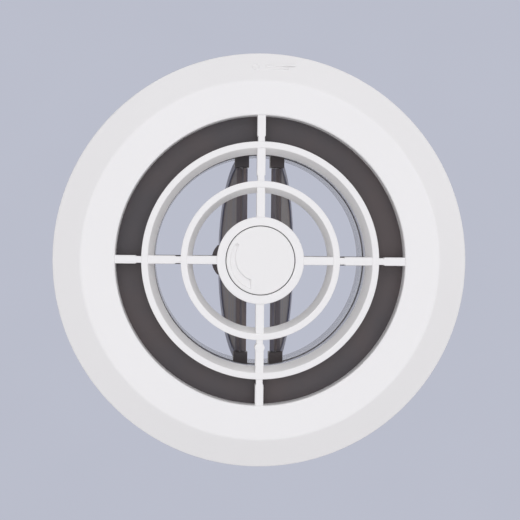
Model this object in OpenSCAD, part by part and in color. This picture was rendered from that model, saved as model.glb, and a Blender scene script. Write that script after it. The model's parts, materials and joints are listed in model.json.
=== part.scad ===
// Round ceiling air diffuser with a turning centre knob and two folding half-disc dampers.
// Origin: duct axis at the ceiling plane. +Z runs up into the duct, the room is on the -Z side.

/* [Face] */
// Diameter of the white face
face_d = 180; // [178:1:190]
// Depth of the face in front of the ceiling
face_depth = 11; // [10.6:0.2:12]
// Diameter of the air opening in the face
opening_d = 124.8; // [124.4:0.2:125.4]
// Radial width of the bevel round the face
bevel_w = 12.8; // [12:0.1:13.4]
// Thickness of the moulded walls of the face
face_t = 2.2; // [1.8:0.1:2.4]

/* [Grille] */
// Front outer diameter of the large ring
outer_ring_d = 102.4; // [101.8:0.2:103]
// Front outer diameter of the small ring
inner_ring_d = 68.6; // [68:0.2:69.4]
// Width of the front rim of each ring
ring_rim = 2.8; // [2.4:0.1:3]
// Front diameter of the hub
hub_d = 37.6; // [37.4:0.1:38.2]
// Width of a spoke
spoke_w = 3.6; // [3.2:0.1:4]
// Width of a spoke in the short waist outside each ring
spoke_waist = 2.9; // [2.6:0.1:3.1]

/* [Duct body] */
// Outer diameter of the spigot
spigot_d = 98; // [97.6:0.2:98.4]
// Length of the spigot above the ceiling plane
spigot_len = 50; // [46:1:56]
// Thickness of the flange plate
plate_t = 2.6; // [2.4:0.1:2.8]
// Diameter of the flange plate
plate_d = 156; // [154:1:158]
// Pitch circle of the ceiling screw holes
screw_pcd = 146; // [145:0.5:147]
// Diameter of the ceiling screw holes
screw_hole_d = 4.5; // [4:0.1:4.8]

/* [Knob] */
// Diameter of the knob disc
knob_d = 29.4; // [29:0.1:29.6]
// Turn of the knob from open to closed, in degrees
knob_turn = 100; // [90:5:120]

/* [Dampers] */
// Distance of each hinge rod from the duct axis
hinge_x = 7.85; // [7.8:0.05:7.9]
// Height of the hinge rods above the ceiling plane
hinge_z = 18.5; // [18.4:0.1:19]
// Fold of the dampers when open, in degrees
open_angle = 77; // [76:1:78]
// Thickness of a damper
damper_t = 1.6; // [1.4:0.1:1.8]
// Diameter of a hinge rod
rod_d = 2; // [1.8:0.1:2.1]

/* [Hidden] */
$fn = 96;
eps = 0.01;
quarter = 90;

// Face
face_r = face_d / 2;
opening_r = opening_d / 2;
front = -face_depth;
rim_back = -0.6;
rim_front = -2.4;
crease_r = face_r - bevel_w;
edge_round = 0.9;
inner_wall = 2;
rim_wall = 2.4;
rim_fill = 0.54;
socket_w = 2.6;
socket_r = opening_r + 1.2;
snap_half = 14;
snap_in = 68.5;
snap_out = 70;
snap_tip = 67.9;
rib_count = 8;
rib_t = 1.2;
rib_in = 72;

// Grille
grille_back = -3.4;
ring_front = front + 0.25;
outer_ring_r = outer_ring_d / 2;
inner_ring_r = inner_ring_d / 2;
ring_wall = 2;
ring_edge = 0.3;
ring_skirt = 1.4;
outer_ring_slope = 2.6;
inner_ring_slope = 2.3;
spoke_front = front + 0.55;
boss_at = 37.6;
boss_r = 2.15;
hub_r = hub_d / 2;
hub_floor_front = -6.2;
hub_floor_back = -4.6;
hub_edge = 0.4;
hub_skirt = 1.5;
hub_taper = 1.2;
hub_hole_r = 3.6;
hub_screw_x = 10.5;
hub_screw_r = 1.1;
hub_post_r = 2.4;
waist_len = 2.2;

// Duct body
spigot_r = spigot_d / 2;
neck_wall = 1.6;
neck_r = spigot_r - neck_wall;
spigot_chamfer = 0.8;
ledge_w = 0.8;
plate_front = -plate_t;
mouth_round = 3;
housing_right = 19.5;
housing_left = 21;
housing_half_y = 6.4;
housing_end_r = 9.2;
housing_top = 13;
crossbar_half_w = 1.95;
crossbar_top = 3.4;
guide_half_x = 13.6;
guide_half_y = 4.9;
floor_top = -0.8;
lug_inner = 41.2;
lug_r = 3.25;
lug_half_w = 3.1;
ledge_top = hinge_z - 1.4;
cover_t = 1.2;
cover_screw_x = 16.6;
cover_screw_r = 0.9;
cover_window_x = 6.6;
gasket_in = 52;
gasket_out = 57;
collar_in = 66;
collar_out = 67.6;
collar_front = -6.5;

// Knob and spindle
knob_r = knob_d / 2;
knob_gap = 0.45;
knob_skin = 2.4;
knob_wall = 1.6;
knob_boss_r = 4.6;
recess_out = 13.1;
recess_in = 9.5;
recess_grow = 2.6;
recess_from = 114;
recess_to = 212;
knob_skirt = hub_floor_front - 0.7;
spindle_r = 2.95;
spindle_top = 10.8;
bush_r = 4.4;
bearing_gap = 0.06;
drive_r = 2.5;
collar_top = -3.4;

// Drive geometry: a pin on the crosshead runs in a radial slot of each damper lever
lever_reach = 4.4;
half_swing = open_angle / 2;
pin_trim = 0.16;
pin_half_travel = lever_reach * tan(half_swing) - pin_trim;
travel = 2 * pin_half_travel;
lead = travel * 360 / knob_turn;
pin_r = 1;
pin_x = hinge_x - lever_reach;
pin_z = hinge_z - pin_half_travel;
slot_r = pin_r + 0.25;
slot_start = lever_reach - 0.15;
slot_end = lever_reach / cos(half_swing) + 0.2;
lever_half_w = 2.35;
base_z = 1.2;
base_t = 2.8;
peg_z = base_z + base_t / 2;
peg_r = 0.8;

// Dampers
damper_rib_h = 1.2;
barrel_r = 2.4;
rod_r = rod_d / 2;
rod_half_len = 45.9;
barrel_end = 40.9;
barrel_start = 6.8;
damper_r = neck_r - 1;
seal_t = 0.5;
seal_out = neck_r - 0.2;
seal_in = damper_r - 2.2;

// A point on a circle of radius r round (x, y)
function arc_point(x, y, r, a) = [x + r * cos(a), y + r * sin(a)];

// Ring from radius r1 to r2, from z1 to z2
module ring(r1, r2, z1, z2) {
    translate([0, 0, z1])
        difference() {
            cylinder(h = z2 - z1, r = r2);
            translate([0, 0, -1]) cylinder(h = z2 - z1 + 2, r = r1);
        }
}

// Part of a ring, centred on the +X axis and reaching half_a degrees each way
module arc_ring(r1, r2, z1, z2, half_a) {
    far = r2 * 1.5;
    intersection() {
        ring(r1, r2, z1, z2);
        translate([0, 0, z1 - 1])
            linear_extrude(height = z2 - z1 + 2)
                polygon([[0, 0], [far * cos(half_a), -far * sin(half_a)], [far * 1.2, 0],
                         [far * cos(half_a), far * sin(half_a)]]);
    }
}

// Four copies a quarter turn apart, the first turned by start degrees
module quarters(start = 0) {
    for (i = [0:3])
        rotate([0, 0, start + i * quarter]) children();
}

// Box given by its low and high corners
module block(low, high) {
    translate(low) cube(high - low);
}

// White face: a bevelled, hollow ring with a rounded inner edge
module face_profile() {
    inner_edge = [for (a = [270:-15:180])
        arc_point(opening_r + edge_round, front + edge_round, edge_round, a)];
    polygon(concat(
        [[face_r, rim_back], [face_r, rim_front], [crease_r, front]],
        inner_edge,
        [[opening_r, plate_front], [opening_r + inner_wall, plate_front],
         [opening_r + inner_wall, front + face_t], [crease_r - 0.7, front + face_t],
         [face_r - rim_wall, rim_front + rim_fill], [face_r - rim_wall, rim_back]]));
}

// Stiffening rib along +X in the hollow between the flat and the bevel
module face_rib() {
    low = front + face_t - 0.3;
    rib_out = face_r - rim_wall - 0.8;
    translate([0, rib_t / 2, 0])
        rotate([quarter, 0, 0])
            linear_extrude(height = rib_t)
                polygon([[rib_in, low], [crease_r - 0.5, low], [rib_out, rim_front - 0.4],
                         [rib_out, rim_front + 0.2], [rib_in, -6]]);
}

module face_flange() {
    color("whitesmoke")
        difference() {
            union() {
                rotate_extrude() face_profile();
                quarters() {
                    arc_ring(snap_in, snap_out, front + face_t - eps, -3, snap_half);
                    arc_ring(snap_tip, snap_in + 0.1, -4.4, -3.4, snap_half - 2);
                }
                for (i = [0:rib_count - 1])
                    rotate([0, 0, 22.5 + i * 45]) face_rib();
            }
            quarters()
                block([opening_r - 1, -socket_w / 2, -8.2], [socket_r, socket_w / 2, -3.8]);
        }
}

// Grille: hub cup, two conical rings and four spokes in one moulding
module cone_ring(r_out, slope) {
    r_in = r_out - ring_rim;
    back_in = r_in - slope;
    rotate_extrude()
        polygon([[r_in + ring_edge, ring_front], [r_out - ring_edge, ring_front],
                 [r_out, ring_front + ring_edge], [r_out, ring_front + ring_skirt],
                 [back_in + ring_wall, grille_back], [back_in, grille_back],
                 [r_in, ring_front + ring_edge]]);
}

module hub_cup() {
    rotate_extrude()
        polygon([[knob_r + knob_gap, front], [hub_r - hub_edge, front],
                 [hub_r, front + hub_edge], [hub_r, front + hub_skirt],
                 [hub_r - hub_taper, hub_floor_back], [hub_hole_r, hub_floor_back],
                 [hub_hole_r, hub_floor_front], [knob_r + knob_gap, hub_floor_front]]);
}

// A spoke along +X with a narrow waist just outside the hub and each ring
module spoke() {
    top = grille_back + 0.2;
    low = spoke_front;
    notch = (spoke_w - spoke_waist) / 2;
    difference() {
        block([hub_r - 2, -spoke_w / 2, low], [opening_r, spoke_w / 2, top]);
        for (r = [inner_ring_r - 0.3, outer_ring_r - 0.3])
            for (side = [-1, 1])
                translate([r, side * (spoke_w / 2 - notch / 2) - notch, low - 1])
                    cube([waist_len + 0.3, notch * 2, top - low + 2]);
    }
    block([opening_r - 1, -1.2, -8], [socket_r - 0.1, 1.2, -4]);
}

module grille_core() {
    color("white")
        difference() {
            union() {
                hub_cup();
                cone_ring(outer_ring_r, outer_ring_slope);
                cone_ring(inner_ring_r, inner_ring_slope);
                quarters() spoke();
                translate([0, boss_at, spoke_front])
                    cylinder(h = grille_back - spoke_front, r = boss_r);
                for (side = [-1, 1])
                    translate([side * hub_screw_x, 0, hub_floor_back - eps])
                        cylinder(h = plate_front - hub_floor_back + eps, r = hub_post_r);
            }
            for (side = [-1, 1])
                translate([side * hub_screw_x, 0, hub_floor_front - 1])
                    cylinder(h = 6, r = hub_screw_r + 0.05);
        }
}

// Smoke-dark body: flange plate, bell mouth, spigot, crossbar, drive housing and hinge lugs
module body_shell() {
    mouth = [for (a = [180:15:270])
        arc_point(neck_r + mouth_round, plate_front + mouth_round, mouth_round, a)];
    rotate_extrude()
        polygon(concat(
            [[plate_d / 2, plate_front], [plate_d / 2, 0], [spigot_r, 0],
             [spigot_r, spigot_len - spigot_chamfer], [spigot_r - spigot_chamfer, spigot_len],
             [neck_r, spigot_len], [neck_r, ledge_top], [neck_r - ledge_w, ledge_top],
             [neck_r - ledge_w, ledge_top - ledge_w], [neck_r, ledge_top - 2 * ledge_w]],
            mouth));
}

// Outline of the drive housing: straight sides and round ends, a little longer on the left
module housing_outline() {
    intersection() {
        square([60, 2 * housing_half_y], center = true);
        union() {
            square([2 * (housing_right - housing_end_r), 40], center = true);
            for (end_x = [housing_end_r - housing_left, housing_right - housing_end_r])
                translate([end_x, 0]) circle(r = housing_end_r);
        }
    }
}

// Hinge lug on the +Y side of the neck, open at the top so that the rod snaps in
module hinge_lug() {
    translate([hinge_x, 0, hinge_z])
        difference() {
            union() {
                block([-lug_half_w, lug_inner, -7], [lug_half_w, neck_r + 1, 0.4]);
                translate([0, lug_inner, 0])
                    rotate([-quarter, 0, 0]) cylinder(h = neck_r - lug_inner + 0.4, r = lug_r);
            }
            translate([0, lug_inner - 1, 0])
                rotate([-quarter, 0, 0]) cylinder(h = 6, r = rod_r + 0.03);
            block([-0.85, lug_inner - 1, 0], [0.85, lug_inner + 5, 5]);
        }
}

module duct_body() {
    color("#4b4546")
        difference() {
            union() {
                body_shell();
                intersection() {
                    for (flip = [0, 180])
                        rotate([0, 0, flip])
                            for (side = [0, 1])
                                mirror([0, side, 0]) hinge_lug();
                    cylinder(h = 60, r = neck_r + 1);
                }
                translate([0, 0, plate_front])
                    linear_extrude(height = housing_top - plate_front) housing_outline();
                for (side = [0, 1])
                    mirror([side, 0, 0])
                        block([housing_right - 2, -crossbar_half_w, plate_front],
                              [neck_r + 0.6, crossbar_half_w, crossbar_top]);
                quarters() {
                    arc_ring(collar_in, collar_out, collar_front, plate_front + eps, snap_half + 1);
                    arc_ring(collar_out - eps, collar_out + 0.6, -6, -5.2, snap_half - 1);
                }
            }
            block([-guide_half_x, -guide_half_y, floor_top],
                  [guide_half_x, guide_half_y, housing_top + 1]);
            translate([0, 0, plate_front - 1]) cylinder(h = 5, r = bush_r);
            for (side = [-1, 1]) {
                translate([side * hub_screw_x, 0, plate_front - 1])
                    cylinder(h = 5, r = hub_screw_r + 0.2);
                translate([side * cover_screw_x, 0, housing_top - 8])
                    cylinder(h = 9, r = cover_screw_r + 0.05);
            }
            ring(gasket_in - 0.1, gasket_out + 0.1, -1, 1);
            quarters(45)
                translate([screw_pcd / 2, 0, 0]) {
                    translate([0, 0, plate_front - 1]) cylinder(h = 5, r = screw_hole_d / 2);
                    translate([0, 0, plate_front - eps])
                        cylinder(h = 1.1, r1 = screw_hole_d / 2 + 1.6, r2 = screw_hole_d / 2);
                }
        }
}

module ceiling_gasket() {
    color("#202022") ring(gasket_in, gasket_out, -1, 0);
}

// Pan-head screw along Z with its head up; the underside of the head is at z = 0
module pan_screw(shank_r, shank_len, head_r, head_h) {
    difference() {
        union() {
            translate([0, 0, -shank_len]) cylinder(h = shank_len + eps, r = shank_r);
            cylinder(h = head_h, r = head_r);
        }
        for (turn = [0, quarter])
            rotate([0, 0, turn])
                block([-head_r * 0.6, -0.2, head_h * 0.45], [head_r * 0.6, 0.2, head_h + 1]);
    }
}

module hub_screws() {
    color("silver")
        for (side = [-1, 1])
            translate([side * hub_screw_x, 0, floor_top]) pan_screw(hub_screw_r, 5, 2, 1.2);
}

module guide_cover() {
    color("#3e393a")
        difference() {
            translate([0, 0, housing_top]) linear_extrude(height = cover_t) housing_outline();
            block([-cover_window_x, -guide_half_y, 0], [cover_window_x, guide_half_y, 20]);
            for (side = [-1, 1])
                translate([side * cover_screw_x, 0, housing_top - 1])
                    cylinder(h = 4, r = cover_screw_r + 0.2);
        }
}

module cover_screws() {
    color("silver")
        for (side = [-1, 1])
            translate([side * cover_screw_x, 0, housing_top + cover_t])
                pan_screw(cover_screw_r, 7, 1.8, 1.1);
}

module spindle_bush() {
    color("ivory") {
        ring(spindle_r + bearing_gap, bush_r, plate_front, floor_top + 0.2);
        ring(spindle_r + bearing_gap, 6, plate_front - 0.7, plate_front);
    }
}

module friction_washer() {
    color("#2b2b2d")
        ring(knob_r - 3.2, knob_r + 0.3, hub_floor_front - 0.6, hub_floor_front);
}

// Rod along Y at one hinge line
module hinge_rod(side) {
    color("gainsboro")
        translate([side * hinge_x, rod_half_len, hinge_z])
            rotate([quarter, 0, 0]) cylinder(h = 2 * rod_half_len, r = rod_r);
}

module hinge_rod_left() {
    hinge_rod(-1);
}

module hinge_rod_right() {
    hinge_rod(1);
}

// D-shaped drive end of the spindle, widened by gap
module drive_shape(gap) {
    intersection() {
        circle(r = drive_r + gap);
        translate([-5, -5]) square([6.9 + gap, 10]);
    }
}

// Outline of the finger recess: a crescent that widens round the left edge of the knob
module recess_outline() {
    span = recess_to - recess_from;
    polygon(concat(
        [for (a = [recess_from - 6:4:recess_to]) arc_point(0, 0, recess_out, a)],
        [for (a = [recess_to:-3.5:recess_from])
            arc_point(0, 0, recess_in + recess_grow * pow((a - recess_from) / span, 0.6), a)]));
}

module knob_cap() {
    color("white")
        difference() {
            rotate_extrude()
                polygon([[0, front], [knob_r - 0.5, front], [knob_r, front + 0.5],
                         [knob_r, knob_skirt], [knob_r - knob_wall, knob_skirt],
                         [knob_r - knob_wall, front + knob_skin],
                         [knob_boss_r, front + knob_skin], [knob_boss_r, knob_skirt],
                         [0, knob_skirt]]);
            translate([0, 0, front + 2])
                linear_extrude(height = 10) drive_shape(0.05);
            intersection() {
                translate([0, 0, front - 1]) linear_extrude(height = 4) recess_outline();
                translate([0, 12, front + 1.1])
                    rotate([-2.5, 0, 0]) translate([-20, -40, -5]) cube([40, 50, 5]);
            }
            translate([-10.05, -6.55, front - 1]) cylinder(h = 1.6, r = 0.6);
        }
}

// Spindle with two steep helical grooves
module knob_spindle() {
    groove_z = base_z - 0.2;
    groove_h = spindle_top - groove_z + 1;
    start_a = 360 * (peg_z - groove_z) / lead;
    color("#d9d4c4")
        difference() {
            union() {
                translate([0, 0, front + 2.2])
                    linear_extrude(height = 5) drive_shape(0);
                translate([0, 0, collar_top - 0.9]) cylinder(h = 0.9, r = 5.4);
                translate([0, 0, collar_top - eps])
                    cylinder(h = spindle_top - collar_top + eps, r = spindle_r);
            }
            ring(2.4, 4, floor_top + 0.3, floor_top + 0.9);
            translate([0, 0, groove_z])
                rotate([0, 0, start_a])
                    linear_extrude(height = groove_h, twist = 360 * groove_h / lead,
                                   slices = 36, convexity = 4, $fn = 16)
                        for (side = [0, 180])
                            rotate(side) translate([1.9, -1.26]) square([2, 2.52]);
        }
}

// E-shaped clip in the spindle's groove
module spindle_clip() {
    color("silver")
        difference() {
            ring(2.42, 4.8, floor_top + 0.35, floor_top + 0.85);
            block([0, -1.9, -3], [6, 1.9, 3]);
        }
}

// Slider: a nut guided in the housing, with two cheeks that carry the drive pins
module crosshead() {
    boss_top = base_z + base_t + 2;
    cheek_in = 3.3;
    cheek_out = guide_half_y - 0.3;
    head_half_x = 5.3;
    color("#d9d4c4") {
        difference() {
            union() {
                block([-guide_half_x + 0.3, -cheek_out, base_z],
                      [guide_half_x - 0.3, cheek_out, base_z + base_t]);
                translate([0, 0, base_z + 1]) cylinder(h = boss_top - base_z - 1, r = 4.5);
                for (side = [0, 1])
                    mirror([0, side, 0]) {
                        block([-4.2, cheek_in, base_z + 1], [4.2, cheek_out, pin_z]);
                        block([-head_half_x, cheek_in, pin_z - 2], [head_half_x, cheek_out, pin_z + 2]);
                    }
            }
            translate([0, 0, base_z - 1]) cylinder(h = 10, r = spindle_r + bearing_gap);
            for (side = [-1, 1])
                translate([side * pin_x, 6, pin_z])
                    rotate([quarter, 0, 0]) cylinder(h = 12, r = pin_r + 0.02);
            for (side = [-1, 1])
                translate([side * 9.2, 0, base_z - 1]) cylinder(h = 6, r = 2.6);
        }
        for (side = [0, 180])
            rotate([0, 0, side])
                translate([2.15, 0, peg_z]) rotate([0, quarter, 0]) cylinder(h = 1.4, r = peg_r);
    }
}

module drive_pin(side) {
    color("silver")
        translate([side * pin_x, guide_half_y - 0.3, pin_z])
            rotate([quarter, 0, 0]) cylinder(h = 2 * (guide_half_y - 0.3), r = pin_r);
}

module drive_pin_left() {
    drive_pin(-1);
}

module drive_pin_right() {
    drive_pin(1);
}

// Half disc of the right damper, drawn from the hinge line, with room for lugs and drive
module damper_outline(r) {
    difference() {
        translate([-hinge_x, 0]) circle(r = r);
        translate([-60 - hinge_x + 0.3, -60]) square([60, 120]);
        for (side = [-1, 1])
            translate([-30, side * (barrel_end - 0.2 + 10) - 10]) square([33.9, 20]);
        translate([-30, -barrel_start]) square([31.6, 2 * barrel_start]);
    }
}

// Lever of the right damper: knuckle on the rod and a radial slot for the drive pin
module damper_lever() {
    thick = 2.5;
    translate([0, 0.4 + thick, 0])
        rotate([quarter, 0, 0])
            linear_extrude(height = thick)
                difference() {
                    union() {
                        circle(r = barrel_r);
                        rotate(180 - half_swing) {
                            translate([0, -lever_half_w + 0.1])
                                square([slot_end, 2 * lever_half_w - 0.2]);
                            translate([slot_end, 0]) circle(r = lever_half_w);
                        }
                        translate([0, -0.8]) square([6, 1.6]);
                    }
                    circle(r = rod_r + bearing_gap);
                    rotate(180 - half_swing) {
                        translate([slot_start, -slot_r]) square([slot_end - slot_start, 2 * slot_r]);
                        for (r = [slot_start, slot_end])
                            translate([r, 0]) circle(r = slot_r);
                    }
                }
}

// Right damper lying closed, with its hinge line on the Y axis
module damper_closed() {
    difference() {
        union() {
            translate([0, 0, -damper_t / 2])
                linear_extrude(height = damper_t) damper_outline(damper_r);
            for (side = [-1, 1])
                translate([0, side * (barrel_start + barrel_end) / 2, 0])
                    rotate([quarter, 0, 0])
                        cylinder(h = barrel_end - barrel_start, r = barrel_r, center = true);
            for (x = [12, 24])
                intersection() {
                    translate([0, 0, damper_t / 2 - eps])
                        linear_extrude(height = damper_rib_h) damper_outline(damper_r - 2);
                    translate([x, -50, 0]) cube([1.2, 100, 4]);
                }
        }
        translate([0, 50, 0])
            rotate([quarter, 0, 0]) cylinder(h = 100, r = rod_r + bearing_gap);
    }
    damper_lever();
}

// Silicone lip on the room side of the damper's rim
module seal_closed() {
    translate([0, 0, -damper_t / 2 - seal_t])
        linear_extrude(height = seal_t)
            difference() {
                intersection() {
                    damper_outline(seal_out);
                    translate([4.2, -60]) square([60, 120]);
                }
                translate([-hinge_x, 0]) circle(r = seal_in);
            }
}

// Places a closed damper piece on its rod, folded open; turn = 180 gives the left side
module on_hinge(turn) {
    rotate([0, 0, turn])
        translate([hinge_x, 0, hinge_z])
            rotate([0, -open_angle, 0]) children();
}

module flap_right() {
    color("#5a5254") on_hinge(0) damper_closed();
}

module flap_left() {
    color("#5a5254") on_hinge(180) damper_closed();
}

module flap_seal_right() {
    color("#8a90a8") on_hinge(0) seal_closed();
}

module flap_seal_left() {
    color("#8a90a8") on_hinge(180) seal_closed();
}

face_flange();
grille_core();
duct_body();
ceiling_gasket();
hub_screws();
guide_cover();
cover_screws();
spindle_bush();
friction_washer();
hinge_rod_left();
hinge_rod_right();
knob_cap();
knob_spindle();
spindle_clip();
crosshead();
drive_pin_left();
drive_pin_right();
flap_left();
flap_right();
flap_seal_left();
flap_seal_right();
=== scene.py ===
"""Ceiling air diffuser: detailed face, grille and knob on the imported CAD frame, with
procedural materials for every node, a plain stage, soft light and the camera."""

import json
import math

import bmesh
import bpy
from mathutils import Matrix, Vector


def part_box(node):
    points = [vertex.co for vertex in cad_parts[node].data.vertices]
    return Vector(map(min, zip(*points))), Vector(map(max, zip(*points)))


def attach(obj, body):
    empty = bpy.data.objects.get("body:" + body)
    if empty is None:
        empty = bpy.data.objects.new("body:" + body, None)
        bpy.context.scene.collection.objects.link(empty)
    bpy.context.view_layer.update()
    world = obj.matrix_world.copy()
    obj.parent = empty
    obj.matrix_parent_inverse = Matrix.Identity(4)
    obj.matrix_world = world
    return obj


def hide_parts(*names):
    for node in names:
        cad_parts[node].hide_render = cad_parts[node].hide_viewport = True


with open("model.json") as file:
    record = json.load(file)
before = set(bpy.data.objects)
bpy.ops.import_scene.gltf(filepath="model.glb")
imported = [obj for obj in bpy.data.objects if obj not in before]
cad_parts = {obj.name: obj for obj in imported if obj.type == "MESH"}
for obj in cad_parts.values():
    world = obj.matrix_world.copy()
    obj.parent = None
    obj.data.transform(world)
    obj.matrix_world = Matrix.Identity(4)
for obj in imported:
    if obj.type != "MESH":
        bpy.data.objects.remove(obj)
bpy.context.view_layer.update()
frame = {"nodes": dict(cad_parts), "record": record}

MM = 0.001
NODES = frame["nodes"]
SEGMENTS = 240
SHARP = math.radians(38)
QUARTER_TURNS = [i * math.pi / 2 for i in range(4)]


# ---------------------------------------------------------------- sizes, in millimetres

def box_mm(node):
    """Lowest and highest corner of a CAD node in millimetres."""
    low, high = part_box(node)
    return low / MM, high / MM


face_low, face_high = box_mm("face_flange")
knob_high = box_mm("knob_cap")[1]

# Face
FACE_R = face_high.x
FRONT = face_low.z
RIM_BACK = face_high.z
RIM_FRONT = RIM_BACK - 1.8
BEVEL_W = 12.8
CREASE_R = FACE_R - BEVEL_W
OPENING_R = 62.4
FACE_T = 2.2
INNER_WALL = 2.0
RIM_WALL = 2.4
RIM_FILL = 0.54
SNAP_IN = 68.5
SNAP_OUT = 70
SNAP_BACK = -3
SNAP_HALF = math.radians(14)
BARB_IN = 67.9
BARB_Z = (-4.4, -3.4)
BARB_SHARE = 0.86
RIB_COUNT = 8
RIB_IN = 72
RIB_BACK = -6
RIB_T = 1.2
MARK_H = 0.3
MARK_X = 1.0
MARK_RING = (1.1, 1.7)
MARK_RING_X = -3.6
MARK_BAR_X = 0.6
MARK_BAR_ENDS = ((-0.85, 13.5), (0.85, 10.5))
MARK_BAR_HALF = 0.4

# Grille
GRILLE_BACK = -3.4
RING_FRONT = FRONT + 0.25
OUTER_RING_R = 51.2
INNER_RING_R = 34.3
RING_RIM = 2.8
RING_WALL = 2.0
RING_SKIRT = 1.4
OUTER_SLOPE = 2.6
INNER_SLOPE = 2.3
HUB_R = 18.8
HUB_SKIRT = 1.5
HUB_TAPER = 1.2
HUB_HOLE_R = 3.6
HUB_FLOOR_FRONT = -6.2
HUB_FLOOR_BACK = -4.6
SPOKE_W = 3.6
SPOKE_WAIST = 2.9
SPOKE_FRONT = FRONT + 0.55
SPOKE_BACK = GRILLE_BACK + 0.2
WAIST_LEN = 2.2
WAIST_LEAD = 0.3
WAIST_RAMP = 0.35
WAIST_STEP = 0.05
TONGUE_X = (OPENING_R - 1, OPENING_R + 1.1)
TONGUE_HALF = 1.2
TONGUE_Z = (-8, -4)
POST_X = 10.5
POST_R = 2.4
POST_BORE = 1.15
BOSS_AT = 37.6
BOSS_R = 2.15
BOSS_FRONT = SPOKE_FRONT - 0.08

# Knob
KNOB_R = knob_high.x
KNOB_GAP = 0.32
KNOB_BACK = knob_high.z
KNOB_EDGE = 0.5
KNOB_EDGE_TURNS = [math.radians(v) for v in (6, 30, 55, 80, 90)]
KNOB_WALL = 1.6
KNOB_SKIN = 2.4
KNOB_BOSS_R = 4.6
KNOB_BORE = 2.6
KNOB_AROUND = 360
COARSE_STEP = 0.6
FINE_FROM = 9.0
FINE_STEP = 0.115

# Duct body
PLATE_FRONT = -2.6


# ---------------------------------------------------------------- mesh helpers

def rounded(corners, steps=5):
    """Outline from (across, along, fillet) corners, each filleted by a short curve."""
    outline = []
    count = len(corners)
    for i, (x, y, fillet) in enumerate(corners):
        here = Vector((x, y))
        if fillet <= 0:
            outline.append((x, y))
            continue
        before = Vector(corners[i - 1][:2]) - here
        after = Vector(corners[(i + 1) % count][:2]) - here
        cut = min(fillet, 0.48 * before.length, 0.48 * after.length)
        start = here + before.normalized() * cut
        end = here + after.normalized() * cut
        for k in range(steps + 1):
            t = k / steps
            p = start * (1 - t) ** 2 + here * 2 * t * (1 - t) + end * t * t
            outline.append((p.x, p.y))
    return outline


def revolve(outline, segments=SEGMENTS, start=0.0, sweep=math.tau):
    """Solid of revolution about Z from a closed (radius, height) outline in millimetres."""
    shape = bmesh.new()
    closed = abs(sweep - math.tau) < 1e-6
    columns = segments if closed else segments + 1
    rings = []
    for i in range(columns):
        a = start + sweep * i / segments
        rings.append([shape.verts.new((r * math.cos(a), r * math.sin(a), z)) for r, z in outline])
    pairs = [(i, (i + 1) % columns) for i in range(columns if closed else columns - 1)]
    for i, j in pairs:
        for k in range(len(outline)):
            m = (k + 1) % len(outline)
            if max(outline[k][0], outline[m][0]) > 0:
                shape.faces.new((rings[i][k], rings[j][k], rings[j][m], rings[i][m]))
    if not closed:
        shape.faces.new(rings[0])
        shape.faces.new(list(reversed(rings[-1])))
    bmesh.ops.remove_doubles(shape, verts=shape.verts, dist=1e-5)
    bmesh.ops.recalc_face_normals(shape, faces=shape.faces)
    return shape


def arc_wall(r_in, r_out, z_low, z_high, turn, half, edge=0.2):
    """Piece of a ring centred on direction turn, reaching half radians each way."""
    outline = rounded([(r_in, z_low, edge), (r_out, z_low, edge),
                       (r_out, z_high, edge), (r_in, z_high, edge)], 2)
    return revolve(outline, 24, turn - half, 2 * half)


def loft(sections):
    """Solid through sections of equal point count, capped at both ends."""
    shape = bmesh.new()
    rows = [[shape.verts.new(p) for p in section] for section in sections]
    for a, b in zip(rows, rows[1:]):
        for k in range(len(a)):
            m = (k + 1) % len(a)
            shape.faces.new((a[k], b[k], b[m], a[m]))
    shape.faces.new(list(reversed(rows[0])))
    shape.faces.new(rows[-1])
    bmesh.ops.recalc_face_normals(shape, faces=shape.faces)
    return shape


def prism(outline, z_low, z_high, edge):
    """Flat shape with the given outline, from z_low to z_high, with rounded rims."""
    shape = bmesh.new()
    low = [shape.verts.new((x, y, z_low)) for x, y in outline]
    high = [shape.verts.new((x, y, z_high)) for x, y in outline]
    for k in range(len(outline)):
        m = (k + 1) % len(outline)
        shape.faces.new((low[k], low[m], high[m], high[k]))
    bottom = shape.faces.new(list(reversed(low)))
    top = shape.faces.new(high)
    bmesh.ops.recalc_face_normals(shape, faces=shape.faces)
    rims = list(bottom.edges) + list(top.edges)
    bmesh.ops.bevel(shape, geom=rims, offset=edge, segments=2, profile=0.5, affect="EDGES",
                    clamp_overlap=True)
    return shape


def block(low, high, edge):
    """Box from its corners with rounded edges."""
    shape = bmesh.new()
    low, high = Vector(low), Vector(high)
    size = high - low
    bmesh.ops.create_cube(shape, size=1.0, matrix=Matrix.Translation((low + high) / 2)
                          @ Matrix.Diagonal((*size, 1.0)))
    bmesh.ops.bevel(shape, geom=list(shape.edges), offset=edge, segments=2, profile=0.5,
                    affect="EDGES", clamp_overlap=True)
    return shape


def moved(shape, matrix):
    """The same shape after a transform."""
    bmesh.ops.transform(shape, matrix=matrix, verts=shape.verts)
    return shape


def turned(shape, angle):
    """The same shape turned about Z."""
    return moved(shape, Matrix.Rotation(angle, 4, "Z"))


def piece(name, shapes, body, replaced, slot):
    """One object in metres from shapes in millimetres, on a body, with its material."""
    whole = bmesh.new()
    for shape in shapes:
        part = bpy.data.meshes.new("part")
        shape.to_mesh(part)
        shape.free()
        whole.from_mesh(part)
        bpy.data.meshes.remove(part)
    bmesh.ops.scale(whole, vec=(MM, MM, MM), verts=whole.verts)
    mesh = bpy.data.meshes.new(name)
    whole.to_mesh(mesh)
    whole.free()
    mesh.shade_smooth()
    mesh.set_sharp_from_angle(angle=SHARP)
    mesh.materials.append(MATERIALS[slot])
    obj = bpy.data.objects.new(name, mesh)
    bpy.context.scene.collection.objects.link(obj)
    even = obj.modifiers.new("even_normals", "WEIGHTED_NORMAL")
    even.keep_sharp = True
    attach(obj, body)
    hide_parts(replaced)


# ---------------------------------------------------------------- materials

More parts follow.
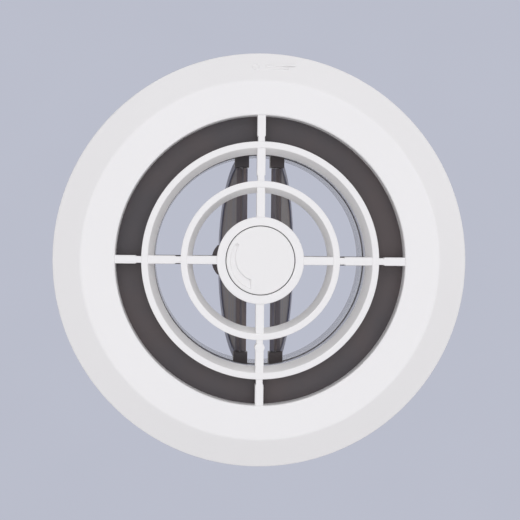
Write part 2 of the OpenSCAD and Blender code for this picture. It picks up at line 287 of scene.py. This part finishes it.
def new_material(name):
    """An empty node material: returns (material, nodes, links, shader)."""
    mat = bpy.data.materials.new(name)
    mat.use_nodes = True
    tree = mat.node_tree
    tree.nodes.clear()
    out = tree.nodes.new("ShaderNodeOutputMaterial")
    shader = tree.nodes.new("ShaderNodeBsdfPrincipled")
    tree.links.new(shader.outputs["BSDF"], out.inputs["Surface"])
    return mat, tree.nodes, tree.links, shader


def noise(nodes, links, scale, detail=3.0, stretch=None):
    """Noise in object space, optionally stretched: returns its factor socket."""
    place = nodes.new("ShaderNodeTexCoord")
    source = place.outputs["Object"]
    if stretch:
        mapping = nodes.new("ShaderNodeMapping")
        mapping.inputs["Scale"].default_value = stretch
        links.new(source, mapping.inputs["Vector"])
        source = mapping.outputs["Vector"]
    tex = nodes.new("ShaderNodeTexNoise")
    tex.inputs["Scale"].default_value = scale
    tex.inputs["Detail"].default_value = detail
    links.new(source, tex.inputs["Vector"])
    return tex.outputs["Fac"]


def ramp(nodes, links, source, stops):
    """Colour ramp over source between two (position, colour) stops."""
    node = nodes.new("ShaderNodeValToRGB")
    for element, (position, colour) in zip(node.color_ramp.elements, stops):
        element.position = position
        element.color = (*colour, 1.0)
    links.new(source, node.inputs["Fac"])
    return node.outputs["Color"]


def spread(nodes, links, source, low, high):
    """Maps a 0 to 1 factor to low to high."""
    return grade(nodes, links, source, (0.0, 1.0), (low, high))


def grade(nodes, links, source, span, values):
    """The first value below the span, the second above it, even change inside."""
    node = nodes.new("ShaderNodeMapRange")
    node.inputs["From Min"].default_value, node.inputs["From Max"].default_value = span
    node.inputs["To Min"].default_value, node.inputs["To Max"].default_value = values
    links.new(source, node.inputs["Value"])
    return node.outputs["Result"]


def from_axis(nodes, links, point):
    """Distance of a point from the Z axis."""
    flat = nodes.new("ShaderNodeVectorMath")
    flat.operation = "MULTIPLY"
    flat.inputs[1].default_value = (1.0, 1.0, 0.0)
    links.new(point, flat.inputs[0])
    reach = nodes.new("ShaderNodeVectorMath")
    reach.operation = "LENGTH"
    links.new(flat.outputs["Vector"], reach.inputs[0])
    return reach.outputs["Value"]


def bump(nodes, links, shader, source, strength, distance):
    """Adds a bump to the shader."""
    node = nodes.new("ShaderNodeBump")
    node.inputs["Strength"].default_value = strength
    node.inputs["Distance"].default_value = distance
    links.new(source, node.inputs["Height"])
    links.new(node.outputs["Normal"], shader.inputs["Normal"])


def white_plastic(name, colour, rough, grain):
    """Moulded white ABS: faint tone drift, fine spark-eroded grain."""
    mat, nodes, links, shader = new_material(name)
    drift = noise(nodes, links, 14.0)
    darker = tuple(c * 0.985 for c in colour)
    links.new(ramp(nodes, links, drift, [(0.3, darker), (0.7, colour)]), shader.inputs["Base Color"])
    fine = noise(nodes, links, 2600.0, 2.0)
    links.new(spread(nodes, links, fine, rough - 0.05, rough + 0.05), shader.inputs["Roughness"])
    shader.inputs["IOR"].default_value = 1.5
    shader.inputs["Subsurface Weight"].default_value = 0.06
    shader.inputs["Subsurface Radius"].default_value = (0.002, 0.002, 0.002)
    bump(nodes, links, shader, fine, grain, 0.00005)
    return mat


def smoke_plastic(name, warm, cool, rough, gloss, stretch, scale):
    """Tinted plastic or silicone: streaks in a warm and a cool tone, and a fine moulding texture; on
    the flaps the streaks are painted reflection.
    """
    mat, nodes, links, shader = new_material(name)
    # Streaks in the base colour: moulding flow on the body and the silicone, painted reflection
    # streaks on the flaps.
    flow_and_reflection_streaks = noise(nodes, links, scale, 4.0, stretch=stretch)
    links.new(ramp(nodes, links, flow_and_reflection_streaks, [(0.38, cool), (0.62, warm)]), shader.inputs["Base Color"])
    fine = noise(nodes, links, 900.0, 3.0)
    links.new(spread(nodes, links, fine, rough - 0.05, rough + 0.06), shader.inputs["Roughness"])
    shader.inputs["Specular IOR Level"].default_value = gloss
    bump(nodes, links, shader, fine, 0.05, 0.0001)
    return mat


def let_light_through(mat, alpha):
    """Makes the neck's thin wall see-through: alpha outside NECK_R and above NECK_FROM, else solid."""
    nodes, links = mat.node_tree.nodes, mat.node_tree.links
    shader = next(n for n in nodes if n.type == "BSDF_PRINCIPLED")
    place = nodes.new("ShaderNodeTexCoord")
    split = nodes.new("ShaderNodeSeparateXYZ")
    links.new(place.outputs["Object"], split.inputs["Vector"])
    radius = from_axis(nodes, links, place.outputs["Object"])
    both = nodes.new("ShaderNodeMath")
    both.operation = "MULTIPLY"
    links.new(grade(nodes, links, radius, NECK_R, (0.0, 1.0)), both.inputs[0])
    links.new(grade(nodes, links, split.outputs["Z"], NECK_FROM, (0.0, 1.0)), both.inputs[1])
    links.new(spread(nodes, links, both.outputs["Value"], 1.0, alpha), shader.inputs["Alpha"])


def soft_material(name, colour, rough, scale, strength):
    """Foam or rubber with a cellular surface."""
    mat, nodes, links, shader = new_material(name)
    cells = nodes.new("ShaderNodeTexVoronoi")
    cells.inputs["Scale"].default_value = scale
    place = nodes.new("ShaderNodeTexCoord")
    links.new(place.outputs["Object"], cells.inputs["Vector"])
    lighter = tuple(c * 1.5 for c in colour)
    links.new(ramp(nodes, links, cells.outputs["Distance"], [(0.0, colour), (0.9, lighter)]),
              shader.inputs["Base Color"])
    shader.inputs["Roughness"].default_value = rough
    bump(nodes, links, shader, cells.outputs["Distance"], strength, 0.0002)
    return mat


def metal(name, colour, rough, scale, stretch):
    """Drawn or plated steel with directional scratches."""
    mat, nodes, links, shader = new_material(name)
    lines = noise(nodes, links, scale, 4.0, stretch=stretch)
    darker = tuple(c * 0.86 for c in colour)
    links.new(ramp(nodes, links, lines, [(0.3, darker), (0.7, colour)]), shader.inputs["Base Color"])
    shader.inputs["Metallic"].default_value = 1.0
    links.new(spread(nodes, links, lines, rough - 0.07, rough + 0.07), shader.inputs["Roughness"])
    bump(nodes, links, shader, lines, 0.12, 0.00005)
    return mat


def acetal(name):
    """Natural acetal: waxy off-white with soft mottling."""
    mat, nodes, links, shader = new_material(name)
    mottle = noise(nodes, links, 220.0, 4.0)
    links.new(ramp(nodes, links, mottle, [(0.3, (0.66, 0.62, 0.53)), (0.7, (0.76, 0.73, 0.64))]),
              shader.inputs["Base Color"])
    links.new(spread(nodes, links, mottle, 0.32, 0.44), shader.inputs["Roughness"])
    shader.inputs["Subsurface Weight"].default_value = 0.15
    shader.inputs["Subsurface Radius"].default_value = (0.002, 0.0018, 0.0012)
    bump(nodes, links, shader, mottle, 0.08, 0.0001)
    return mat


MATERIALS = {
    "white_abs": white_plastic("white_abs", (0.872, 0.862, 0.86), 0.45, 0.12),
    "white_knob": white_plastic("white_knob", (0.858, 0.848, 0.842), 0.42, 0.08),
    "smoke_plastic": smoke_plastic("smoke_plastic", (0.098, 0.080, 0.081), (0.080, 0.072, 0.078),
                                   0.42, 0.3, (1.0, 1.0, 0.3), 26.0),
    # The flaps' fine upright streaks are painted reflection: light and dark bands that stand in for
    # reflections on the glossy flaps.
    "smoke_flap": smoke_plastic("smoke_flap", (0.185, 0.155, 0.154), (0.152, 0.146, 0.178),
                                0.4, 0.12, (1.0, 0.06, 1.0), 420.0),
    "silicone": smoke_plastic("silicone", (0.26, 0.27, 0.36), (0.22, 0.24, 0.36),
                              0.4, 0.3, (1.0, 1.0, 1.0), 60.0),
    "foam": soft_material("foam", (0.02, 0.02, 0.022), 0.95, 2400.0, 0.6),
    "black_rubber": soft_material("black_rubber", (0.02, 0.02, 0.02), 0.6, 1500.0, 0.2),
    "zinc_steel": metal("zinc_steel", (0.62, 0.63, 0.64), 0.3, 300.0, None),
    "steel_rod": metal("steel_rod", (0.68, 0.68, 0.69), 0.22, 900.0, (1.0, 0.05, 1.0)),
    "acetal": acetal("acetal"),
}

# In metres: the radius and the height over which the neck's wall turns see-through
NECK_R = (0.0466, 0.0472)
NECK_FROM = (0.001, 0.003)
let_light_through(MATERIALS["smoke_plastic"], 0.22)

# Bevel widths in millimetres for the moulded CAD nodes
SOFT_EDGES = {"duct_body": 0.2, "guide_cover": 0.2, "crosshead": 0.15,
              "flap_left": 0.18, "flap_right": 0.18}


def soften(obj, width):
    """Small moulded radii on a CAD node's edges, with even shading."""
    weld = obj.modifiers.new("joined", "WELD")
    weld.merge_threshold = 0.001 * MM
    bevel = obj.modifiers.new("soft_edges", "BEVEL")
    bevel.width = width * MM
    bevel.segments = 2
    bevel.limit_method = "ANGLE"
    bevel.angle_limit = SHARP
    even = obj.modifiers.new("even_normals", "WEIGHTED_NORMAL")
    even.keep_sharp = True


def dress_nodes():
    """Gives every CAD node its material and the moulded ones slightly broken edges."""
    slots = {s["node"]: s["material_slot"] for s in frame["record"]["subparts"]}
    for name, obj in NODES.items():
        obj.data.materials.clear()
        obj.data.materials.append(MATERIALS[slots[name]])
        if name in SOFT_EDGES:
            soften(obj, SOFT_EDGES[name])


dress_nodes()


# ---------------------------------------------------------------- white face

def make_mark(shapes):
    """Adds a small raised mark without meaning to the upper bevel: a ring and two bars."""
    slope = math.atan2(RIM_FRONT - FRONT, BEVEL_W)
    r_in, r_out = MARK_RING
    outline = rounded([(r_in, -MARK_H, 0.08), (r_out, -MARK_H, 0.08),
                       (r_out, MARK_H, 0), (r_in, MARK_H, 0)], 2)
    signs = [moved(revolve(outline, 40), Matrix.Translation((MARK_RING_X, 0, 0)))]
    for row, end in MARK_BAR_ENDS:
        signs.append(block((MARK_BAR_X, row - MARK_BAR_HALF, -MARK_H),
                           (end, row + MARK_BAR_HALF, MARK_H), 0.1))
    middle = (FACE_R + CREASE_R) / 2
    seat = (Matrix.Translation((MARK_X, -middle, (FRONT + RIM_FRONT) / 2 + 0.02))
            @ Matrix.Rotation(-slope, 4, "X"))
    shapes += [moved(sign, seat) for sign in signs]


def make_face():
    """Bevelled hollow ring with soft moulded edges, snap arms and ribs behind it."""
    ring = revolve(rounded([
        (FACE_R, RIM_BACK, 0.35), (FACE_R, RIM_FRONT, 0.6), (CREASE_R, FRONT, 0.8),
        (OPENING_R, FRONT, 0.95), (OPENING_R, PLATE_FRONT, 0.2),
        (OPENING_R + INNER_WALL, PLATE_FRONT, 0.2), (OPENING_R + INNER_WALL, FRONT + FACE_T, 0.3),
        (CREASE_R - 0.7, FRONT + FACE_T, 0.6), (FACE_R - RIM_WALL, RIM_FRONT + RIM_FILL, 0.3),
        (FACE_R - RIM_WALL, RIM_BACK, 0.3)]))
    shapes = [ring]
    for turn in QUARTER_TURNS:
        shapes.append(arc_wall(SNAP_IN, SNAP_OUT, FRONT + FACE_T - 0.1, SNAP_BACK, turn, SNAP_HALF))
        shapes.append(arc_wall(BARB_IN, SNAP_IN + 0.1, *BARB_Z, turn, SNAP_HALF * BARB_SHARE, 0.15))
    low = FRONT + FACE_T - 0.3
    rib_out = FACE_R - RIM_WALL - 0.8
    rib = [(RIB_IN, low), (CREASE_R - 0.5, low), (rib_out, RIM_FRONT - 0.4),
           (rib_out, RIM_FRONT + 0.2), (RIB_IN, RIB_BACK)]
    for i in range(RIB_COUNT):
        web = prism(rib, -RIB_T / 2, RIB_T / 2, 0.12)
        web = moved(web, Matrix.Rotation(math.pi / 2, 4, "X"))
        shapes.append(turned(web, math.tau * (i + 0.5) / RIB_COUNT))
    make_mark(shapes)
    piece("face", shapes, "mount_frame", "face_flange", "white_abs")


# ---------------------------------------------------------------- grille

def cone_ring(r_out, slope):
    """One conical ring with a flat front rim."""
    r_in = r_out - RING_RIM
    back_in = r_in - slope
    return revolve(rounded([
        (r_in, RING_FRONT, 0.35), (r_out, RING_FRONT, 0.4), (r_out, RING_FRONT + RING_SKIRT, 0.2),
        (back_in + RING_WALL, GRILLE_BACK, 0.3), (back_in, GRILLE_BACK, 0.35)], 4))


def spoke():
    """Spoke along +X with a waist just outside each ring."""
    wide, waist = SPOKE_W / 2, SPOKE_WAIST / 2
    stations = [(HUB_R - 2, wide)]
    for ring in (INNER_RING_R, OUTER_RING_R):
        start = ring - WAIST_LEAD
        end = ring + WAIST_LEN
        stations += [(start, wide), (start + WAIST_STEP, waist), (end, waist),
                     (end + WAIST_RAMP, wide)]
    stations.append((OPENING_R + 0.2, wide))
    sections = []
    for x, half in stations:
        corner = rounded([(-half, SPOKE_FRONT, 0.35), (half, SPOKE_FRONT, 0.35),
                          (half, SPOKE_BACK, 0.25), (-half, SPOKE_BACK, 0.25)], 3)
        sections.append([(x, y, z) for y, z in corner])
    return loft(sections)


def make_grille():
    """Hub cup, two conical rings, four spokes with tongues, a boss and two posts, as one piece."""
    bore = KNOB_R + KNOB_GAP
    hub = revolve(rounded([
        (bore, FRONT, 0.25), (HUB_R, FRONT, 0.5), (HUB_R, FRONT + HUB_SKIRT, 0.2),
        (HUB_R - HUB_TAPER, HUB_FLOOR_BACK, 0.3), (HUB_HOLE_R, HUB_FLOOR_BACK, 0.2),
        (HUB_HOLE_R, HUB_FLOOR_FRONT, 0.2), (bore, HUB_FLOOR_FRONT, 0.4)], 4))
    shapes = [hub, cone_ring(OUTER_RING_R, OUTER_SLOPE), cone_ring(INNER_RING_R, INNER_SLOPE)]
    for turn in QUARTER_TURNS:
        shapes.append(turned(spoke(), turn))
        tongue = block((TONGUE_X[0], -TONGUE_HALF, TONGUE_Z[0]),
                       (TONGUE_X[1], TONGUE_HALF, TONGUE_Z[1]), 0.15)
        shapes.append(turned(tongue, turn))
    boss = revolve(rounded([(0, BOSS_FRONT, 0), (BOSS_R, BOSS_FRONT, 0.3),
                            (BOSS_R, GRILLE_BACK, 0.2), (0, GRILLE_BACK, 0)], 3), 40)
    shapes.append(moved(boss, Matrix.Translation((0, BOSS_AT, 0))))
    post_front = HUB_FLOOR_BACK - 0.2
    for side in (-1, 1):
        post = revolve(rounded([(POST_BORE, post_front, 0), (POST_R, post_front, 0),
                                (POST_R, PLATE_FRONT, 0.2), (POST_BORE, PLATE_FRONT, 0.1)], 2), 40)
        shapes.append(moved(post, Matrix.Translation((side * POST_X, 0, 0))))
    piece("grille", shapes, "mount_frame", "grille_core", "white_abs")


# ---------------------------------------------------------------- knob

RECESS_OUT = 13.1
RECESS_IN = 9.0
RECESS_GROW = 2.2
RECESS_RISE = 0.65
RECESS_SOFT = 0.4
RECESS_FROM = math.radians(114)
RECESS_TO = math.radians(212)
RECESS_END_X = -3.95
RECESS_DEPTH = 1.4
RECESS_TILT = math.tan(math.radians(2.5))
RECESS_LEVEL_Y = 12
DOT = Vector((-10.05, -6.55))
DOT_R = 0.7
DOT_DEPTH = 0.9


def soft_step(distance, width):
    """0 outside, 1 well inside, smooth across the width."""
    t = min(max(distance / width, 0.0), 1.0)
    return t * t * (3 - 2 * t)


def recess_depth(r, a):
    """How far the knob's face is sunk at polar place (r, a): finger recess and index dot."""
    x, y = r * math.cos(a), r * math.sin(a)
    along = min(max((a - RECESS_FROM) / (RECESS_TO - RECESS_FROM), 0.0), 1.0)
    inner = RECESS_IN + RECESS_GROW * along
    inside = min(r - inner, RECESS_END_X - x, r * (RECESS_TO - a))
    across = min(max((r - inner) / (RECESS_OUT - inner), 0.0), 1.0)
    floor = (RECESS_DEPTH + (y - RECESS_LEVEL_Y) * RECESS_TILT) * (1 - RECESS_RISE * across)
    sunk = floor * soft_step(inside, RECESS_SOFT) * soft_step(RECESS_OUT - r, RECESS_SOFT)
    dot = DOT_DEPTH * soft_step(DOT_R - math.hypot(x - DOT.x, y - DOT.y), DOT_R / 2)
    return max(sunk, dot)


def make_knob():
    """White disc with a sunk crescent for the finger, an index dot, skirt and drive boss."""
    shape = bmesh.new()
    turns = [math.tau * i / KNOB_AROUND for i in range(KNOB_AROUND)]
    radii = [COARSE_STEP * i for i in range(1, int(FINE_FROM / COARSE_STEP))]
    fine_count = int((KNOB_R - KNOB_EDGE - 0.05 - FINE_FROM) / FINE_STEP) + 1
    radii += [FINE_FROM + FINE_STEP * i for i in range(fine_count)]
    centre = shape.verts.new((0, 0, FRONT))
    rows = []
    for r in radii:
        rows.append([shape.verts.new((r * math.cos(a), r * math.sin(a), FRONT + recess_depth(r, a)))
                     for a in turns])
    edge = [(KNOB_R - KNOB_EDGE + KNOB_EDGE * math.sin(t), FRONT + KNOB_EDGE - KNOB_EDGE * math.cos(t))
            for t in KNOB_EDGE_TURNS]
    wall_in = KNOB_R - KNOB_WALL
    skin_back = FRONT + KNOB_SKIN
    edge += [(KNOB_R, KNOB_BACK - 0.2), (KNOB_R - 0.2, KNOB_BACK), (wall_in + 0.2, KNOB_BACK),
             (wall_in, KNOB_BACK - 0.2), (wall_in, skin_back), (KNOB_BOSS_R, skin_back),
             (KNOB_BOSS_R, KNOB_BACK), (KNOB_BORE, KNOB_BACK), (KNOB_BORE, skin_back - 0.2)]
    for r, z in edge:
        rows.append([shape.verts.new((r * math.cos(a), r * math.sin(a), z)) for a in turns])
    for i in range(KNOB_AROUND):
        j = (i + 1) % KNOB_AROUND
        shape.faces.new((centre, rows[0][j], rows[0][i]))
        for a, b in zip(rows, rows[1:]):
            shape.faces.new((a[i], a[j], b[j], b[i]))
    shape.faces.new(rows[-1])
    bmesh.ops.recalc_face_normals(shape, faces=shape.faces)
    piece("knob_disc", [shape], "knob", "knob_cap", "white_knob")


make_face()
make_grille()
make_knob()


# ---------------------------------------------------------------- stage

FLOOR_Z = -1.3
FLOOR_R = 2.6
DOME_R = 3.2
BACKDROP = (0.50, 0.52, 0.61)


def make_floor():
    """A plain pale floor well below the object."""
    mesh = bpy.data.meshes.new("floor")
    shape = bmesh.new()
    bmesh.ops.create_circle(shape, cap_ends=True, segments=96, radius=FLOOR_R,
                            matrix=Matrix.Translation((0, 0, FLOOR_Z)))
    shape.to_mesh(mesh)
    shape.free()
    floor = bpy.data.objects.new("floor", mesh)
    bpy.context.scene.collection.objects.link(floor)
    mat, nodes, links, shader = new_material("floor")
    grain = noise(nodes, links, 60.0)
    links.new(ramp(nodes, links, grain, [(0.3, (0.56, 0.57, 0.62)), (0.7, (0.58, 0.59, 0.64))]),
              shader.inputs["Base Color"])
    shader.inputs["Roughness"].default_value = 0.7
    mesh.materials.append(mat)


def make_dome():
    """A plain pale backdrop of one tone all round; it shows itself but gives no light."""
    mesh = bpy.data.meshes.new("backdrop")
    shape = bmesh.new()
    bmesh.ops.create_uvsphere(shape, u_segments=64, v_segments=32, radius=DOME_R)
    bmesh.ops.reverse_faces(shape, faces=shape.faces)
    shape.to_mesh(mesh)
    shape.free()
    dome = bpy.data.objects.new("backdrop", mesh)
    bpy.context.scene.collection.objects.link(dome)
    mat = bpy.data.materials.new("backdrop")
    mat.use_nodes = True
    nodes, links = mat.node_tree.nodes, mat.node_tree.links
    nodes.clear()
    out = nodes.new("ShaderNodeOutputMaterial")
    glow = nodes.new("ShaderNodeEmission")
    grain = noise(nodes, links, 3.0)
    darker = tuple(0.985 * c for c in BACKDROP)
    links.new(ramp(nodes, links, grain, [(0.3, darker), (0.7, BACKDROP)]), glow.inputs["Color"])
    links.new(glow.outputs["Emission"], out.inputs["Surface"])
    mesh.materials.append(mat)
    dome.visible_diffuse = False
    dome.visible_shadow = False
    dome.visible_glossy = False


make_floor()
make_dome()


# ---------------------------------------------------------------- light

def area_light(name, place, size, power):
    """A soft square light, hidden from the camera, that faces the origin. Metres and watts."""
    data = bpy.data.lights.new(name, "AREA")
    data.shape = "SQUARE"
    data.size = size
    data.energy = power
    light = bpy.data.objects.new(name, data)
    bpy.context.scene.collection.objects.link(light)
    light.location = place
    light.rotation_mode = "QUATERNION"
    light.rotation_quaternion = (-Vector(place)).to_track_quat("-Z", "Y")
    light.visible_camera = False


def make_lights():
    """Four soft boxes and a pale room: a large one before the face, weak ones high right and
    low left of it, and one behind."""
    area_light("front", (0.05, -0.08, -1.2), 2.5, 15.8)
    area_light("key", (0.5, -0.9, -1.0), 1.5, 2.0)
    area_light("fill", (-0.9, 0.5, -0.9), 1.5, 1.2)
    area_light("back", (0.1, -0.4, 1.8), 1.8, 5.0)
    world = bpy.data.worlds.new("soft_room")
    world.use_nodes = True
    sky = world.node_tree.nodes["Background"]
    sky.inputs["Color"].default_value = (1.0, 0.985, 0.99, 1.0)
    sky.inputs["Strength"].default_value = 0.62
    bpy.context.scene.world = world


make_lights()


# ---------------------------------------------------------------- camera

CAMERA_DISTANCE = 0.620
CAMERA_FOOT = Vector((-0.020, -0.008, 0.0))
CAMERA_ROLL = math.radians(0.55)
CAMERA_AIM = Vector((0.0001, -0.0001, 0.0))
FRAME_SHARE = 0.7925


def make_camera():
    """Camera below the face, a little off the axis, framed on the rim of the face."""
    low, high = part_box("face_flange")
    rim = Vector(((low.x + high.x) / 2, (low.y + high.y) / 2, high.z)) + CAMERA_AIM
    width = high.x - low.x
    eye = CAMERA_FOOT + Vector((0, 0, -CAMERA_DISTANCE))
    forward = (rim - eye).normalized()
    up_hint = Vector((-math.sin(CAMERA_ROLL), -math.cos(CAMERA_ROLL), 0.0))
    right = forward.cross(up_hint).normalized()
    up = right.cross(forward)
    data = bpy.data.cameras.new("camera")
    data.sensor_width = 36.0
    data.lens = FRAME_SHARE * data.sensor_width * (rim - eye).length / width
    data.clip_start = 0.01
    data.clip_end = 20.0
    camera = bpy.data.objects.new("camera", data)
    bpy.context.scene.collection.objects.link(camera)
    turn = Matrix((right, up, -forward)).transposed()
    camera.matrix_world = Matrix.Translation(eye) @ turn.to_4x4()
    bpy.context.scene.camera = camera
    bpy.context.scene.view_settings.view_transform = "Standard"


make_camera()
